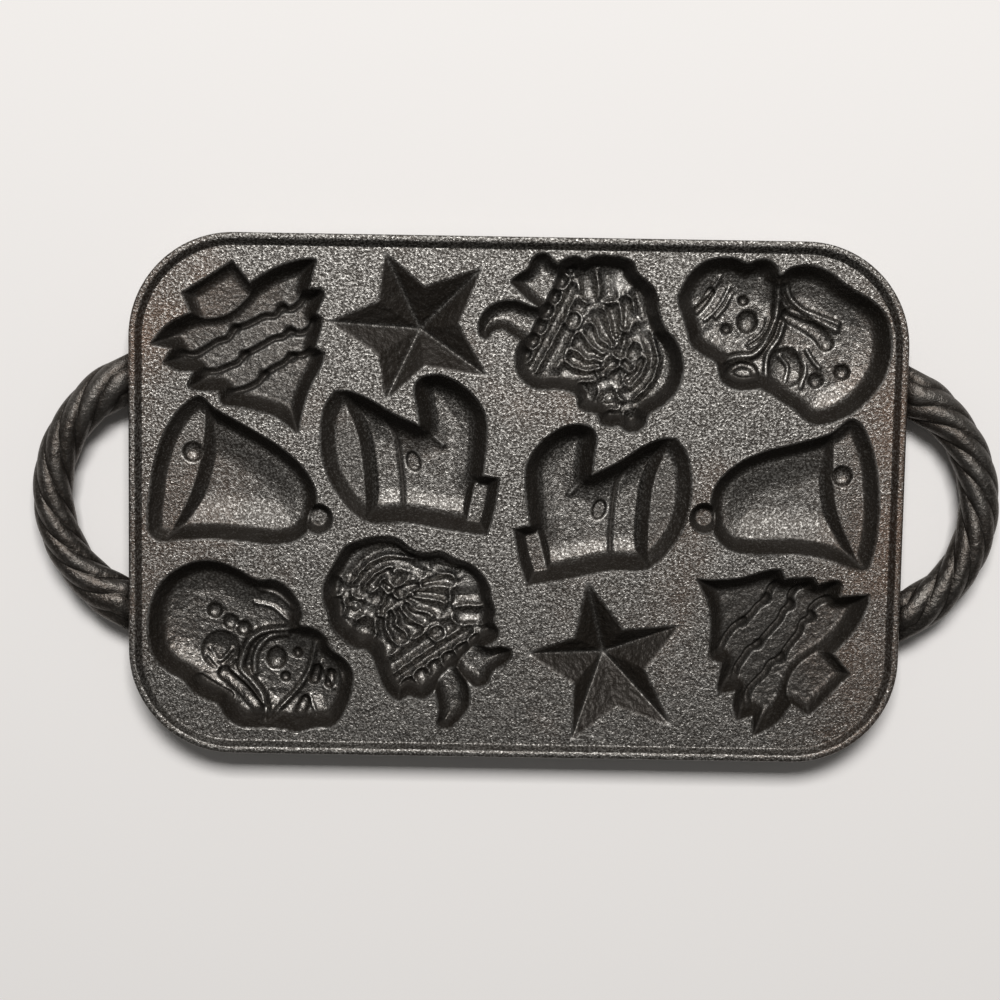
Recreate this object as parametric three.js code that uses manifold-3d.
// Cast iron muffin pan: a rimmed deck with twelve relief moulds and two twisted rope handles.
// Millimetres, +Z up. The pan lies flat, deck up, with its moulds standing on z = 0.

import * as THREE from 'three';
import Module from 'manifold-3d';

const wasm = await Module();
wasm.setup();

// Driving sizes
const PLATE_LENGTH = 296;
const PLATE_WIDTH = 200;
const CORNER_RADIUS = 40;
const DECK_THICKNESS = 4.5;
const MOULD_DEPTH = 11.5;
const WALL_RUN = 5.6;
const RIM_HEIGHT = 3;
const RIM_CREST = 2.6;
const RIM_SLOPE = 2.2;
const SKIRT_DROP = 6.5;
const EDGE_BREAK = 0.7;
const END_CLEARANCE = 1.6;
const SIDE_CLEARANCE = 1.2;
const ROPE_DIAMETER = 15.4;
const ROOT_WIDTH = 18.5;
const HANDLE_REACH = 30.5;
const HANDLE_SPAN = 88;
const ROPE_DROP = 0.4;
const ROPE_STRANDS = 6;
const ROPE_PITCH = 78;
const STRAND_GROOVE = 1;
const ROOT_STUB = 0.6;

// Depths of the relief, below the deck unless a name says floor
const SHELF_DEPTH = 6.2;
const TRUNK_DEPTH = 6;
const KNOB_DEPTH = 6.5;
const LIMB_DEPTH = 8;
const BOOT_DEPTH = 6.6;
const STAR_DEPTH = 11;
const FLOOR_SAG = 1.4;
const FLOOR_RUN = 5;
const STAMP_DEPTH = 1.5;
const STAMP_TAPER = 0.8;
const LINE_WIDTH = 1.4;
const LINE_DEPTH = 1.1;
const COLLAR_WIDTH = 1.8;
const COLLAR_HEIGHT = 3;
const BALL_RADIUS = 2.3;
const CLAPPER_RADIUS = 4;
const KNOB_RADIUS = 5.9;
const BOOT_BUTTON = [2.6, 3.9];
const EYE_RADIUS = 2.2;
const NOSE = [4.1, 4.6];
const COAT_BUTTON_RADIUS = 3.1;
const MITTEN_BALL_RADIUS = 7.7;
const BUCKLE_RADIUS = 3;
const MITTEN = [4.2, 3.2];
const STAR_FOOT = 0.12;
const MEETING_SHARE = 0.86;
const FLARE_START = 0.55;

// Heights that follow from them
const DECK_UNDER = MOULD_DEPTH;
const DECK_TOP = DECK_UNDER + DECK_THICKNESS;
const RIM_TOP = DECK_TOP + RIM_HEIGHT;
const RIM_BAND = RIM_CREST + RIM_SLOPE;
const SKIRT_LOW = DECK_UNDER - SKIRT_DROP;
const CUT_LIFT = 4;
const CUT_BELOW = 6;

// Facet sizes
const OUTLINE_STEP = 6.6;
const GROOVE_STEP = 9;
const CORNER_STEPS = 8;
const STAMP_SIDES = 10;
const STRAND_POINTS = 3;
const ROPE_RINGS = 30;

const material = new THREE.MeshStandardMaterial({ color: 0x4b4641, roughness: 0.72, metalness: 0.85 });

// Solids and meshes

function solidOf(corners, triangles) {
  const mesh = new wasm.Mesh({
    numProp: 3,
    vertProperties: new Float32Array(corners.flat()),
    triVerts: new Uint32Array(triangles.flat()),
  });
  mesh.merge();
  return new wasm.Manifold(mesh);
}

function solidOfGeometry(geometry) {
  const source = geometry.index ? geometry.toNonIndexed() : geometry;
  const places = source.getAttribute('position');
  const corners = [];
  const triangles = [];
  const known = new Map();
  const numbers = [];
  for (let i = 0; i < places.count; i += 1) {
    const corner = [places.getX(i), places.getY(i), places.getZ(i)];
    const key = corner.map((value) => value.toFixed(4)).join(' ');
    if (!known.has(key)) {
      known.set(key, corners.length);
      corners.push(corner);
    }
    numbers.push(known.get(key));
  }
  for (let i = 0; i < numbers.length; i += 3) {
    const [a, b, c] = numbers.slice(i, i + 3);
    if (a !== b && b !== c && c !== a) triangles.push([a, b, c]);
  }
  return solidOf(corners, triangles);
}

function geometryOf(solid) {
  const { numProp, vertProperties, triVerts } = solid.getMesh();
  const corners = [];
  for (let i = 0; i < vertProperties.length; i += numProp) {
    corners.push(vertProperties[i], vertProperties[i + 1], vertProperties[i + 2]);
  }
  const geometry = new THREE.BufferGeometry();
  geometry.setAttribute('position', new THREE.Float32BufferAttribute(corners, 3));
  geometry.setIndex(Array.from(triVerts));
  geometry.computeVertexNormals();
  return geometry;
}

function joined(solids) {
  return solids.reduce((whole, solid) => whole.add(solid));
}

// A closed skin through rings of equal count, capped at both ends. The last ring is the lower one.
function skin(rings) {
  const count = rings[0].length;
  const corners = [];
  const triangles = [];
  const known = new Map();
  const number = (corner) => {
    const key = corner.map((value) => value.toFixed(3)).join(' ');
    if (!known.has(key)) {
      known.set(key, corners.length);
      corners.push(corner);
    }
    return known.get(key);
  };
  const put = (a, b, c) => {
    if (a !== b && b !== c && c !== a) triangles.push([a, b, c]);
  };
  const numbers = rings.map((ring) => ring.map(number));
  for (let level = 0; level + 1 < rings.length; level += 1) {
    for (let i = 0; i < count; i += 1) {
      const next = (i + 1) % count;
      put(numbers[level][i], numbers[level + 1][i], numbers[level][next]);
      put(numbers[level][next], numbers[level + 1][i], numbers[level + 1][next]);
    }
  }
  const cap = (ring, places, upward) => {
    const flat = places.map(([x, y]) => new THREE.Vector2(x, y));
    for (const [a, b, c] of THREE.ShapeUtils.triangulateShape(flat, [])) {
      if (upward) put(ring[a], ring[b], ring[c]);
      else put(ring[a], ring[c], ring[b]);
    }
  };
  cap(numbers[0], rings[0], true);
  cap(numbers[rings.length - 1], rings[rings.length - 1], false);
  return solidOf(corners, triangles);
}

// Outlines. A drawing is a list of smooth runs that meet at corners; one run alone closes on itself.

function smoothRun(points, closed) {
  const places = points.map(([x, y]) => new THREE.Vector3(x, y, 0));
  return new THREE.CatmullRomCurve3(places, closed, 'centripetal');
}

function outlineOf(runs) {
  const points = [];
  runs.forEach((run, number) => {
    const next = runs[(number + 1) % runs.length];
    const closed = runs.length === 1;
    const curve = closed ? smoothRun(run, true) : smoothRun([...run, next[0]], false);
    const steps = Math.max(1, Math.round(curve.getLength() / OUTLINE_STEP));
    curve.getSpacedPoints(steps).slice(0, steps).forEach(({ x, y }) => points.push([x, y]));
  });
  const flat = points.map(([x, y]) => new THREE.Vector2(x, y));
  return THREE.ShapeUtils.isClockWise(flat) ? points.reverse() : points;
}

function polylineOf(points, step) {
  const curve = smoothRun(points, false);
  const steps = Math.max(2, Math.round(curve.getLength() / step));
  return curve.getSpacedPoints(steps).map(({ x, y }) => [x, y]);
}

function unit(x, y) {
  const length = Math.hypot(x, y);
  return [x / length, y / length];
}

// Each outline point's way inward, and how far it may go before it meets the far side of the outline.
function inwardWays(points) {
  const count = points.length;
  return points.map(([x, y], i) => {
    const before = points[(i + count - 1) % count];
    const after = points[(i + 1) % count];
    const arriving = unit(x - before[0], y - before[1]);
    const leaving = unit(after[0] - x, after[1] - y);
    const [alongX, alongY] = unit(arriving[0] + leaving[0], arriving[1] + leaving[1]);
    const way = [-alongY, alongX];
    let reach = Infinity;
    for (const [farX, farY] of points) {
      const facing = way[0] * (farX - x) + way[1] * (farY - y);
      if (facing > 1e-6) reach = Math.min(reach, ((farX - x) ** 2 + (farY - y) ** 2) / (2 * facing));
    }
    return { way, reach: reach * MEETING_SHARE };
  });
}

function depthAt(profile, inset) {
  for (let i = 1; i < profile.length; i += 1) {
    const [startInset, startDepth] = profile[i - 1];
    const [endInset, endDepth] = profile[i];
    if (inset <= endInset) {
      return startDepth + ((endDepth - startDepth) * (inset - startInset)) / (endInset - startInset);
    }
  }
  return profile[profile.length - 1][1];
}

// A drafted pocket below a mouth at the given height. Where the walls meet early it stays shallower.
function pocket(points, profile, mouth, lift) {
  const ways = inwardWays(points);
  const rings = profile.map(([inset]) => points.map(([x, y], i) => {
    const moved = Math.min(inset, ways[i].reach);
    const { way } = ways[i];
    return [x + way[0] * moved, y + way[1] * moved, mouth - depthAt(profile, moved)];
  }));
  if (lift > 0) rings.unshift(points.map(([x, y]) => [x, y, mouth + lift]));
  return skin(rings);
}

function wallTo(depth) {
  return [[0, 0], [(WALL_RUN * depth) / MOULD_DEPTH, depth]];
}

const FLAT_PROFILE = wallTo(MOULD_DEPTH);
const SAGGING_PROFILE = [
  [0, 0],
  [WALL_RUN, MOULD_DEPTH - FLOOR_SAG / 2],
  [WALL_RUN + FLOOR_RUN, MOULD_DEPTH + FLOOR_SAG / 2],
];

// Pieces of relief

// An oval stamp, pressed from above the floor at the given depth to a little below it
function stamp([x, y], [radiusX, radiusY], depth) {
  const height = MOULD_DEPTH / 2 + STAMP_DEPTH;
  const geometry = new THREE.CylinderGeometry(1, STAMP_TAPER, height, STAMP_SIDES);
  geometry.rotateX(Math.PI / 2);
  geometry.scale(radiusX, radiusY, 1);
  geometry.translate(x, y, DECK_TOP - depth - STAMP_DEPTH + height / 2);
  return solidOfGeometry(geometry);
}

const round = (radius) => [radius, radius];

// A strip of even width along a curve, between two heights
function strip(points, width, low, high) {
  const middle = polylineOf(points, GROOVE_STEP);
  const sides = [1, -1].map((side) => middle.map(([x, y], i) => {
    const before = middle[Math.max(i - 1, 0)];
    const after = middle[Math.min(i + 1, middle.length - 1)];
    const [alongX, alongY] = unit(after[0] - before[0], after[1] - before[1]);
    return new THREE.Vector2(x - (alongY * side * width) / 2, y + (alongX * side * width) / 2);
  }));
  const shape = new THREE.Shape([...sides[0], ...sides[1].reverse()]);
  const geometry = new THREE.ExtrudeGeometry(shape, { depth: high - low, bevelEnabled: false });
  geometry.translate(0, 0, low);
  return solidOfGeometry(geometry);
}

// A groove pressed along a curve into the floor at the given depth
function groove(points, depth) {
  const floor = DECK_TOP - depth;
  return strip(points, LINE_WIDTH, floor - LINE_DEPTH, floor + MOULD_DEPTH / 2);
}

// Iron left standing along a curve, up from the floor
function collarRidge(points) {
  const floor = DECK_TOP - MOULD_DEPTH;
  return strip(points, COLLAR_WIDTH, floor - CUT_BELOW, floor + COLLAR_HEIGHT);
}

// Iron left standing beside a curve: its top is a shelf, and its face slopes to a second curve below.
// Two far corners close the block beyond the mouth of the mould.
function shelf({ edge, foot, corners }, place, depth, lowering) {
  const steps = Math.round(smoothRun(edge.map(place), false).getLength() / OUTLINE_STEP);
  const ringAt = (points, height) => {
    const line = smoothRun(points.map(place), false).getSpacedPoints(steps).map(({ x, y }) => [x, y]);
    return [...line, ...corners.map(place)].map(([x, y]) => [x, y, height - lowering]);
  };
  const rings = [ringAt(edge, DECK_TOP - depth), ringAt(foot, DECK_TOP - MOULD_DEPTH - CUT_BELOW)];
  const flat = rings[0].map(([x, y]) => new THREE.Vector2(x, y));
  return skin(THREE.ShapeUtils.isClockWise(flat) ? rings.map((ring) => ring.reverse()) : rings);
}

function placedRuns(runs, place) {
  return outlineOf(runs.map((run) => run.map(place)));
}

// A mould is a cavity in the deck and the shell that hangs below it. Its shell is the same pockets,
// let down by the deck's thickness, so the walls keep one thickness and meet the deck's underside.
function mould(pockets, shelves, stamps, ridges = []) {
  const hollow = (mouth, lift, lowering) => {
    const bodies = pockets.map(({ outline, inside, outside }) => (
      pocket(outline, lift > 0 ? inside : outside, mouth, lift)
    ));
    return shelves.reduce((whole, cut) => whole.subtract(cut(lowering)), joined(bodies));
  };
  const open = ridges.reduce((whole, ridge) => whole.subtract(ridge), hollow(DECK_TOP, CUT_LIFT, 0));
  const cavity = joined([open, ...stamps]);
  const shell = hollow(DECK_UNDER, 0, DECK_THICKNESS).subtract(cavity);
  return { cavity, shell };
}

const deepPocket = (outline) => ({ outline, inside: SAGGING_PROFILE, outside: FLAT_PROFILE });
const evenPocket = (outline, depth) => ({ outline, inside: wallTo(depth), outside: wallTo(depth) });

// Drawings of the moulds, each where it lies on the real deck. A mouth is a list of smooth runs, and a
// drawing's first mouth is its deep one.

const TREE = {
  centre: [-104, 60],
  mouths: [
    [
      [[-102, 81.6], [-95, 86], [-88, 89], [-80.5, 90.7]],
      [[-77, 90.2]],
      [[-80, 79.4]],
      [[-75.6, 79.5], [-74, 77.6]],
      [[-76.8, 70]],
      [[-74.6, 68], [-75.2, 64]],
      [[-77.1, 57.2]],
      [[-73.7, 55], [-74.6, 51], [-79.9, 40], [-82.6, 30]],
      [[-83.5, 23.4], [-93, 30.3], [-105.5, 33.4], [-112, 34.2]],
      [[-113.8, 36]],
      [[-114.2, 39.4], [-124.5, 40]],
      [[-126, 41.7]],
      [[-124.2, 46.7], [-130, 47.2]],
      [[-135.4, 50]],
      [[-132.4, 55.4]],
      [[-140.5, 57], [-133.6, 65]],
      [[-124.9, 69.6], [-113, 71.5]],
    ],
    [[[-128.2, 77]], [[-109, 89.4]], [[-98, 76]], [[-104, 60]], [[-121, 60]]],
  ],
  garlands: [
    [[-86, 72], [-93.6, 68.6], [-103, 65.6], [-112.4, 59.7], [-121, 55]],
    [[-82.5, 62.8], [-91, 60.5], [-99, 57], [-108, 50.6], [-117, 47]],
    [[-83, 53.7], [-92, 49.7], [-100.5, 43], [-107, 39.6]],
  ],
  balls: [[-91.1, 71.6], [-109.2, 63.2], [-88, 62.6], [-105.5, 53.2], [-87.4, 52.8], [-98, 45.6]],
};

const STAR_A = {
  centre: [-38, 64.5],
  tips: [[-51.5, 93.8], [-14, 88.5], [-11.6, 46.8], [-50.6, 36.8], [-72.6, 66.8]],
  dips: [[-36.1, 80.8], [-23, 66.7], [-35.8, 50.4], [-53.9, 55], [-53.7, 74.9]],
};

const STAR_B = {
  centre: [35, -60],
  tips: [[28, -31], [64.6, -47.5], [61.8, -87.4], [23, -93.6], [5.2, -59.5]],
  dips: [[42.2, -49.6], [50.7, -65.2], [40.1, -79.9], [23.5, -71.1], [23.5, -53]],
};

const ELDER_A = {
  centre: [24, 62],
  mouths: [
    [[
      [12.7, 88], [17.1, 92.3], [21.2, 93.2], [24.5, 92.1], [27.2, 93.4], [33.5, 93.6], [38.5, 93],
      [42.7, 91.2], [44.6, 87.3], [48.6, 84], [52, 79.2], [53.2, 72.7], [55.8, 66.2], [59.2, 62.6],
      [62.4, 55.5], [62.6, 48.9], [60.4, 42.3], [54.9, 36.6], [50.2, 33.6], [48.9, 29.4], [45.4, 26.6],
      [41.7, 26.8], [39, 28.6], [35, 28.4], [31.8, 29.8], [30.3, 33], [26.6, 33.8], [23.2, 35.8],
      [21.8, 40.4], [14.8, 42.5], [7.4, 42.2], [3.2, 44.2], [-0.6, 48.7], [-1.2, 56.1], [1, 62],
      [6.5, 73.5], [10.5, 82],
    ]],
    [[
      [14, 60], [4, 59.6], [-2.1, 62.4], [-6.3, 64.9], [-9.6, 64], [-12.4, 61.1], [-15.2, 62.7],
      [-15.6, 66.6], [-13.8, 71.4], [-8.9, 75.2], [-2.3, 76.2], [4, 74.4], [14, 72],
    ]],
    [[
      [18, 74], [8, 73], [0.1, 79.2], [-3.5, 83.2], [0, 86.4], [2.8, 88.2], [4.8, 92.4], [7.4, 94],
      [10.5, 93.8], [12.4, 91.4], [20, 86],
    ]],
  ],
  lines: [
    [[6.1, 53.8], [14.6, 70.9], [23.8, 85.2]],
    [[12.5, 51.3], [20.6, 67.4], [29.7, 80.7]],
    [[46, 63.6], [50.2, 58.9], [50.2, 52.2], [47.6, 46.5], [42.8, 41.4]],
    [[50.4, 73.3], [43.8, 76], [36.8, 75.8]],
  ],
  buckle: [19.8, 65.8],
  mitten: [30.7, 70.4],
};

const ELDER_B = {
  centre: [-40, -48],
  mouths: [
    [[
      [-69.7, -25.8], [-65.4, -19.3], [-59.3, -16.4], [-51.5, -14.9], [-44.7, -15.9], [-40.1, -19.4],
      [-34.8, -21], [-28.7, -20.3], [-22.6, -23.1], [-17.3, -24.9], [-12.2, -29.3], [-9.4, -34.5],
      [-8.8, -38.9], [-7.2, -43.3], [-7.6, -47.6], [-5.6, -51.2], [-6.6, -54.6], [-12, -58],
      [-21, -66.5], [-30.6, -75.3], [-35, -78.4], [-40.3, -77.4], [-44.4, -79.2], [-49.5, -74.7],
      [-52.7, -67.2], [-55.8, -60], [-60.6, -59.1], [-65.5, -55.8], [-70.6, -50.4], [-72, -44.4],
      [-74, -39.1], [-73.4, -33.4],
    ]],
    [[
      [-9.8, -57.4], [-4.5, -57], [-0.5, -58.6], [-1.6, -62.7], [-7.9, -67.3], [-9.8, -71.6],
      [-13.9, -73.4], [-17.5, -71.4], [-22, -68], [-25, -57], [-16, -52],
    ]],
    [[
      [-17.5, -71.2], [-16.7, -79.9], [-18.4, -83.5], [-25.1, -90], [-29, -88.4], [-28.8, -81.9],
      [-30.2, -75.6], [-33, -67], [-25, -61],
    ]],
  ],
  lines: [
    [[-38.6, -71.2], [-24.9, -58], [-14, -45]],
    [[-43, -65.9], [-30.1, -53.3], [-20.1, -40.7]],
    [[-41.2, -30.3], [-47, -27.7], [-53.4, -29.7], [-58, -33.8], [-61.5, -39.9]],
    [[-33.3, -23.2], [-28.8, -28.6], [-26.8, -35.3]],
  ],
  buckle: [-31.3, -54.6],
  mitten: [-30.2, -42.8],
};

const SNOWMAN_A = {
  centre: [101, 62],
  mouths: [
    [[
      [60, 77.4], [62.4, 69.7], [63.8, 65.4], [65.4, 60.3], [70.5, 56.2], [75.2, 53.2], [76.1, 50.1],
      [77.4, 46.6], [81.6, 43.8], [87.3, 43.1], [92.3, 43.8], [95.5, 42.4], [101.3, 38.6], [105.3, 36.3],
      [109.3, 32.4], [114.6, 30.4], [124, 32.9], [131.6, 38.2], [138.9, 47.7], [141.6, 56.4], [141.6, 65],
      [139, 73.3], [133.7, 78.4], [128.4, 81.3], [124, 83.9], [118.7, 88], [112.6, 90.7], [107.4, 91.2],
      [102.3, 90.1], [98.8, 87.6], [97.4, 90.4], [94.4, 92.8], [90.1, 93], [86.3, 91.7], [81.5, 93.4],
      [76.4, 93.7], [70.4, 92.3], [65.3, 88.5], [62, 83.4],
    ]],
  ],
  collar: [[98.8, 84], [98.9, 75.8], [96.4, 64.8], [89.7, 57.5], [81, 58]],
  eyes: [[86, 77.3], [79.8, 66.3]],
  nose: [87.8, 69.2],
  buttons: [[124.8, 50.4], [114.8, 47]],
  mitten: [103, 51.8],
  smile: [[95.6, 70.9], [94.7, 67.4], [92.3, 63.8], [88.1, 60.7]],
};

const SNOWMAN_B = {
  centre: [-104, -58],
  mouths: [
    [[
      [-141.3, -50.9], [-140, -42], [-136.2, -34.2], [-129.2, -28.3], [-120.5, -25.4], [-112.7, -26.2],
      [-105.7, -29], [-99.5, -32.3], [-92.5, -32.4], [-87.3, -35.4], [-83, -41], [-81.6, -46.3],
      [-82.4, -49.8], [-77.5, -50.9], [-72.4, -54.6], [-70.7, -58.8], [-65.2, -62.9], [-61.8, -68.2],
      [-62, -73.6], [-64.1, -81.6], [-69.3, -89.4], [-77.3, -90.6], [-83.4, -92.2], [-87.8, -91.3],
      [-96.6, -90.6], [-104.6, -90.6], [-110.5, -87.3], [-114.5, -81.6], [-118.7, -80.1],
      [-123.7, -77.3], [-127.5, -72.9], [-133.6, -69.2], [-138.7, -64.1], [-140.9, -57.1],
    ]],
  ],
  collar: [[-88, -52.6], [-95.2, -53.6], [-103.1, -58.2], [-106.2, -68.8], [-98.6, -77.7], [-96.3, -84]],
  eyes: [[-84.2, -62.5], [-89, -72.1]],
  nose: [-92.6, -64.9],
  buttons: [[-116.7, -46.4], [-110.5, -50.8]],
  mitten: [-114.4, -62.1],
  smile: [[-88.3, -56], [-94.9, -57], [-98.7, -60], [-100.6, -65]],
};

const BELL_A = {
  centre: [-107, 10],
  mouths: [
    [[
      [-121.5, 37.8], [-115.2, 33], [-103.4, 26.6], [-90.9, 19.1], [-81.5, 10.9], [-76.6, 1.5], [-77.4, -9],
      [-82.7, -16.4], [-91.5, -19], [-104, -18.1], [-116.5, -17.3], [-129, -17.8], [-136.5, -18.5],
      [-140.6, -15.5], [-141.4, -9], [-140.6, 0], [-139, 11], [-134.6, 24.4], [-128.5, 33.5],
    ]],
  ],
  knob: [-76, -8.6],
  opening: {
    edge: [[-119, 44], [-120, 32], [-120.2, 24], [-122, 12], [-126, -1.3], [-132, -13], [-137, -20]],
    foot: [[-113, 44], [-114, 32], [-114.6, 24], [-115.4, 10], [-119, -1.3], [-127, -13], [-134, -20]],
    corners: [[-170, -20], [-170, 48]],
  },
  clapper: [-124.8, 15.9],
};

const BELL_B = {
  centre: [106, 7],
  mouths: [
    [[
      [127.1, 33.1], [120, 27.8], [107.8, 23.8], [95.2, 20.4], [84.6, 15.4], [76.6, 7.4], [74.3, -1.5],
      [76.4, -12.6], [83, -18.6], [92, -19.9], [107.8, -19.6], [120, -21.4], [130.2, -24.8], [135.2, -25.2],
      [137.8, -18], [139.2, -7], [139.2, 2], [137.4, 16], [134.2, 26], [130.8, 31.7],
    ]],
  ],
  knob: [72.6, -6],
  opening: {
    edge: [[122, 38], [121.9, 25], [122.1, 15.4], [122.5, 6], [124.4, -4], [129, -15], [136, -28]],
    foot: [[115, 38], [114.4, 25], [114, 15.4], [114.2, 6], [116.6, -4], [123, -15], [132, -28]],
    corners: [[170, -28], [170, 38]],
  },
  clapper: [125.6, 10.6],
};

const BOOT = {
  centre: [-41, 17],
  mouths: [
    [
      [[-70, 40.6], [-65, 40.8], [-57, 38], [-47.5, 32.4]],
      [[-37.5, 28], [-38.6, 35.5], [-39.7, 42.4], [-37.4, 46.1], [-31.2, 47.6], [-24, 45.3], [-16.9, 39.9],
        [-12.3, 32.5], [-11.6, 25], [-12.2, 14]],
      [[-12.8, 9.2]],
      [[-6.4, 8.2], [-8.1, -3.9]],
      [[-10.9, -14.2], [-25, -12.5], [-43.1, -9.7], [-56.2, -10], [-63.8, -4.8], [-70, 3], [-74.1, 13],
        [-75.3, 24.2], [-73.8, 34.5]],
    ],
  ],
  opening: {
    edge: [[-68, 42], [-65.6, 33.9], [-60.9, 21.8], [-58.8, 8], [-58, -4], [-58, -12]],
    foot: [[-66, 42], [-62, 33.4], [-55.9, 21], [-54, 8], [-54, -4], [-54, -12]],
    corners: [[-100, -14], [-100, 44]],
  },
  heel: {
    edge: [[-13.4, 12], [-15.6, 6], [-18.6, -8], [-20, -16]],
    foot: [[-16, 12], [-18.4, 6], [-21.4, -8], [-23, -16]],
    corners: [[10, -18], [10, 12]],
  },
  button: [-40, 13],
  cuff: [[-51.5, 29], [-47.4, 24.3], [-45.6, 15], [-44.4, 5], [-43.9, -4]],
  ankle: [[-37, 26.5], [-33, 24], [-28.8, 20]],
};

// How each kind of mould is made from its placed drawing

function treeMould({ mouths: [body, trunk], garlands, balls }, place) {
  return mould(
    [evenPocket(placedRuns(body, place), MOULD_DEPTH), evenPocket(placedRuns(trunk, place), TRUNK_DEPTH)],
    [],
    [
      ...garlands.map((line) => groove(line.map(place), MOULD_DEPTH)),
      ...balls.map((ball) => stamp(place(ball), round(BALL_RADIUS), MOULD_DEPTH)),
    ],
  );
}

function bellMould({ mouths: [body], knob, opening, clapper }, place) {
  const [knobX, knobY] = place(knob);
  const knobOutline = outlineOf([[0, 1, 2, 3, 4, 5].map((step) => {
    const angle = (step * Math.PI) / 3;
    return [knobX + KNOB_RADIUS * Math.cos(angle), knobY + KNOB_RADIUS * Math.sin(angle)];
  })]);
  return mould(
    [deepPocket(placedRuns(body, place)), evenPocket(knobOutline, KNOB_DEPTH)],
    [(lowering) => shelf(opening, place, SHELF_DEPTH, lowering)],
    [stamp(place(clapper), round(CLAPPER_RADIUS), SHELF_DEPTH)],
  );
}

function bootMould({ mouths: [leg], opening, heel, button, cuff, ankle }, place) {
  return mould(
    [deepPocket(placedRuns(leg, place))],
    [
      (lowering) => shelf(opening, place, SHELF_DEPTH, lowering),
      (lowering) => shelf(heel, place, LIMB_DEPTH, lowering),
    ],
    [
      stamp(place(button), BOOT_BUTTON, MOULD_DEPTH),
      groove(cuff.map(place), MOULD_DEPTH),
      groove(ankle.map(place), LIMB_DEPTH),
    ],
  );
}

// Facets rise from keels, which run from the deep middle to the tips, to the edges of the mouth
function starMould({ centre, tips, dips }, place) {
  const [middleX, middleY] = place(centre);
  const drawn = tips.flatMap((tip, i) => [tip, dips[i]]).map(place);
  const clockwise = THREE.ShapeUtils.isClockWise(drawn.map(([x, y]) => new THREE.Vector2(x, y)));
  const outline = clockwise ? drawn.reverse() : drawn;
  const facets = (mouth, lift) => {
    const rings = [[1, 0], [STAR_FOOT, STAR_DEPTH]].map(([share, depth]) => outline.map(([x, y]) => (
      [middleX + (x - middleX) * share, middleY + (y - middleY) * share, mouth - depth]
    )));
    if (lift > 0) rings.unshift(outline.map(([x, y]) => [x, y, mouth + lift]));
    return skin(rings);
  };
  const cavity = facets(DECK_TOP, CUT_LIFT);
  return { cavity, shell: facets(DECK_UNDER, 0).subtract(cavity) };
}

function snowmanMould({ mouths: [figure], collar, eyes, nose, buttons, mitten, smile }, place) {
  return mould(
    [deepPocket(placedRuns(figure, place))],
    [],
    [
      ...eyes.map((eye) => stamp(place(eye), round(EYE_RADIUS), MOULD_DEPTH)),
      stamp(place(nose), NOSE, MOULD_DEPTH),
      ...buttons.map((button) => stamp(place(button), round(COAT_BUTTON_RADIUS), MOULD_DEPTH)),
      stamp(place(mitten), round(MITTEN_BALL_RADIUS), MOULD_DEPTH - STAMP_DEPTH / 2),
      groove(smile.map(place), MOULD_DEPTH - LINE_DEPTH),
    ],
    [collarRidge(collar.map(place))],
  );
}

// A bearded figure in a coat and boots
function elderMould({ mouths: [coat, ...boots], lines, buckle, mitten }, place) {
  return mould(
    [evenPocket(placedRuns(coat, place), MOULD_DEPTH)]
      .concat(boots.map((boot) => evenPocket(placedRuns(boot, place), BOOT_DEPTH))),
    [],
    [
      ...lines.map((line) => groove(line.map(place), MOULD_DEPTH)),
      stamp(place(buckle), round(BUCKLE_RADIUS), MOULD_DEPTH),
      stamp(place(mitten), MITTEN, MOULD_DEPTH),
    ],
  );
}

// The twelve moulds, row by row. The second tree and boot are the first ones, mirrored and turned.

const ROWS = {
  mould_tree_a: { make: treeMould, drawing: TREE },
  mould_star_a: { make: starMould, drawing: STAR_A },
  mould_elder_a: { make: elderMould, drawing: ELDER_A },
  mould_snowman_a: { make: snowmanMould, drawing: SNOWMAN_A },
  mould_bell_a: { make: bellMould, drawing: BELL_A },
  mould_boot_a: { make: bootMould, drawing: BOOT },
  mould_boot_b: { make: bootMould, drawing: BOOT, mirror: true, turn: 3.2, at: [33.2, -0.5] },
  mould_bell_b: { make: bellMould, drawing: BELL_B },
  mould_snowman_b: { make: snowmanMould, drawing: SNOWMAN_B },
  mould_elder_b: { make: elderMould, drawing: ELDER_B },
  mould_star_b: { make: starMould, drawing: STAR_B },
  mould_tree_b: { make: treeMould, drawing: TREE, mirror: true, turn: -99.8, at: [102.3, -55.8] },
};

// Lays a drawing onto the deck, turned about its centre
function ontoDeck({ drawing: { centre }, mirror = false, turn = 0, at = centre }, spread, scale) {
  const cosine = Math.cos(THREE.MathUtils.degToRad(turn));
  const sine = Math.sin(THREE.MathUtils.degToRad(turn));
  return ([x, y]) => {
    const acrossX = (x - centre[0]) * (mirror ? -1 : 1) * scale;
    const acrossY = (y - centre[1]) * scale;
    return [
      at[0] * spread[0] + acrossX * cosine - acrossY * sine,
      at[1] * spread[1] + acrossX * sine + acrossY * cosine,
    ];
  };
}

// How far the drawn mouths reach from the middle of the deck, along it and across it
const drawnPoints = Object.values(ROWS).flatMap((row) => {
  const { mouths = [], tips = [] } = row.drawing;
  return [...mouths.flat(2), ...tips].map(ontoDeck(row, [1, 1], 1));
});
const DRAWN_LENGTH = 2 * Math.max(...drawnPoints.map(([x]) => Math.abs(x)));
const DRAWN_WIDTH = 2 * Math.max(...drawnPoints.map(([, y]) => Math.abs(y)));

// The moulds fill the deck inside the rim, less a clearance, and keep their shape
const SPREAD = [
  (PLATE_LENGTH - 2 * (RIM_BAND + END_CLEARANCE)) / DRAWN_LENGTH,
  (PLATE_WIDTH - 2 * (RIM_BAND + SIDE_CLEARANCE)) / DRAWN_WIDTH,
];
const DRAWING_SCALE = Math.min(...SPREAD);

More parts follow.
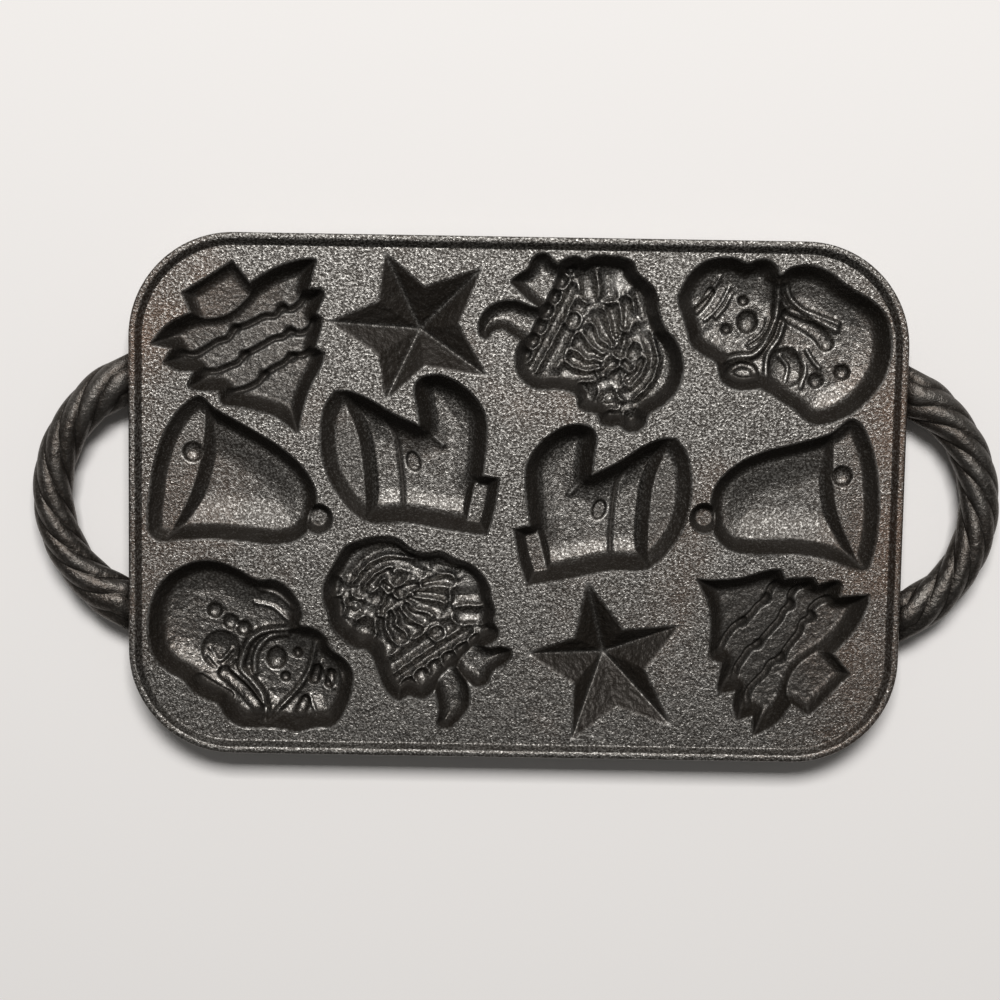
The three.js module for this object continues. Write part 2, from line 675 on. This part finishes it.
const moulds = Object.fromEntries(Object.entries(ROWS).map(([name, row]) => (
  [name, row.make(row.drawing, ontoDeck(row, SPREAD, DRAWING_SCALE))]
)));

// Deck and rim

// The plate's outline, drawn in from its edge by the given distance
function plateOutline(inset) {
  const radius = CORNER_RADIUS - inset;
  const middleX = PLATE_LENGTH / 2 - CORNER_RADIUS;
  const middleY = PLATE_WIDTH / 2 - CORNER_RADIUS;
  const points = [];
  [[1, 1], [-1, 1], [-1, -1], [1, -1]].forEach(([sideX, sideY], quarter) => {
    for (let step = 0; step <= CORNER_STEPS; step += 1) {
      const angle = ((quarter + step / CORNER_STEPS) * Math.PI) / 2;
      points.push([sideX * middleX + radius * Math.cos(angle), sideY * middleY + radius * Math.sin(angle)]);
    }
  });
  return points;
}

function plateRing(inset, height) {
  return plateOutline(inset).map(([x, y]) => [x, y, height]);
}

const deck = Object.values(moulds).reduce(
  (plate, { cavity }) => plate.subtract(cavity),
  skin([plateRing(RIM_BAND, DECK_TOP), plateRing(RIM_BAND, DECK_UNDER)]),
);

// The rim's section, from its outer foot over the crest to its inner foot
function rimSolid() {
  const outside = skin([
    plateRing(RIM_CREST, RIM_TOP),
    plateRing(EDGE_BREAK, RIM_TOP),
    plateRing(0, RIM_TOP - EDGE_BREAK),
    plateRing(0, SKIRT_LOW + EDGE_BREAK),
    plateRing(EDGE_BREAK, SKIRT_LOW),
  ]);
  const inside = skin([
    plateRing(RIM_CREST, RIM_TOP + CUT_LIFT),
    plateRing(RIM_CREST, RIM_TOP),
    plateRing(RIM_BAND, DECK_TOP),
    plateRing(RIM_BAND, SKIRT_LOW - CUT_BELOW),
  ]);
  return outside.subtract(inside);
}

// Twisted rope handles

// The handle's middle line is an arc that leaves the rim, and its strands wind round it. Its two end
// rings are slid along the arc's last direction onto the rim's outer face. The rope widens to its roots.
function ropeRings(side) {
  const edge = PLATE_LENGTH / 2;
  const radius = ((HANDLE_SPAN / 2) ** 2 + HANDLE_REACH ** 2) / (2 * HANDLE_REACH);
  const middle = edge + HANDLE_REACH - radius;
  const halfTurn = Math.acos((edge + ROOT_STUB - middle) / (radius - ROOT_WIDTH / 2));
  const height = RIM_TOP - ROPE_DROP - ROPE_DIAMETER / 2;
  const points = ROPE_STRANDS * STRAND_POINTS;
  const widthAt = (angle) => {
    const flare = THREE.MathUtils.smoothstep(Math.abs(angle) / halfTurn, FLARE_START, 1);
    return 1 + flare * (ROOT_WIDTH / ROPE_DIAMETER - 1);
  };
  const sectionAt = (angle, ending) => Array.from({ length: points }, (_, point) => {
    const around = (point * 2 * Math.PI) / points;
    const lobe = Math.abs(Math.sin((around * ROPE_STRANDS) / 2));
    const reach = ROPE_DIAMETER / 2 - STRAND_GROOVE * (1 - lobe);
    const wound = around + (angle * radius * 2 * Math.PI) / ROPE_PITCH;
    const away = radius + reach * Math.cos(wound) * widthAt(angle);
    const x = middle + away * Math.cos(angle);
    const y = away * Math.sin(angle);
    const slide = ending ? (x - edge) / Math.tan(angle) : 0;
    return [side * (ending ? edge : x), side * (y + slide), height + reach * Math.sin(wound)];
  });
  const rings = Array.from({ length: ROPE_RINGS + 1 }, (_, ring) => (
    sectionAt(halfTurn * (1 - (2 * ring) / ROPE_RINGS), false)
  ));
  return [sectionAt(halfTurn, true), ...rings, sectionAt(-halfTurn, true)];
}

// A closed skin through a tube's rings, with a fan over each end
function tube(rings) {
  const count = rings[0].length;
  const corners = rings.flat();
  const triangles = [];
  for (let ring = 0; ring + 1 < rings.length; ring += 1) {
    for (let i = 0; i < count; i += 1) {
      const next = (i + 1) % count;
      const low = ring * count;
      const high = low + count;
      triangles.push([low + i, low + next, high + i], [low + next, high + next, high + i]);
    }
  }
  const last = (rings.length - 1) * count;
  const ends = [[0, false], [last, true]];
  for (const [first, forward] of ends) {
    const ring = corners.slice(first, first + count);
    const hub = corners.length;
    corners.push([0, 1, 2].map((axis) => ring.reduce((sum, corner) => sum + corner[axis], 0) / count));
    corners[hub][0] = ring[0][0];
    for (let i = 0; i < count; i += 1) {
      const next = (i + 1) % count;
      triangles.push(forward ? [hub, first + i, first + next] : [hub, first + next, first + i]);
    }
  }
  return solidOf(corners, triangles);
}

// The assembly

const solids = {
  deck_plate: deck,
  rim: rimSolid(),
  ...Object.fromEntries(Object.entries(moulds).map(([name, { shell }]) => [name, shell])),
  handle_left: tube(ropeRings(-1)),
  handle_right: tube(ropeRings(1)),
};

const pan = new THREE.Group();
for (const [name, solid] of Object.entries(solids)) {
  const mesh = new THREE.Mesh(geometryOf(solid), material.clone());
  mesh.name = name;
  pan.add(mesh);
}

export default pan;
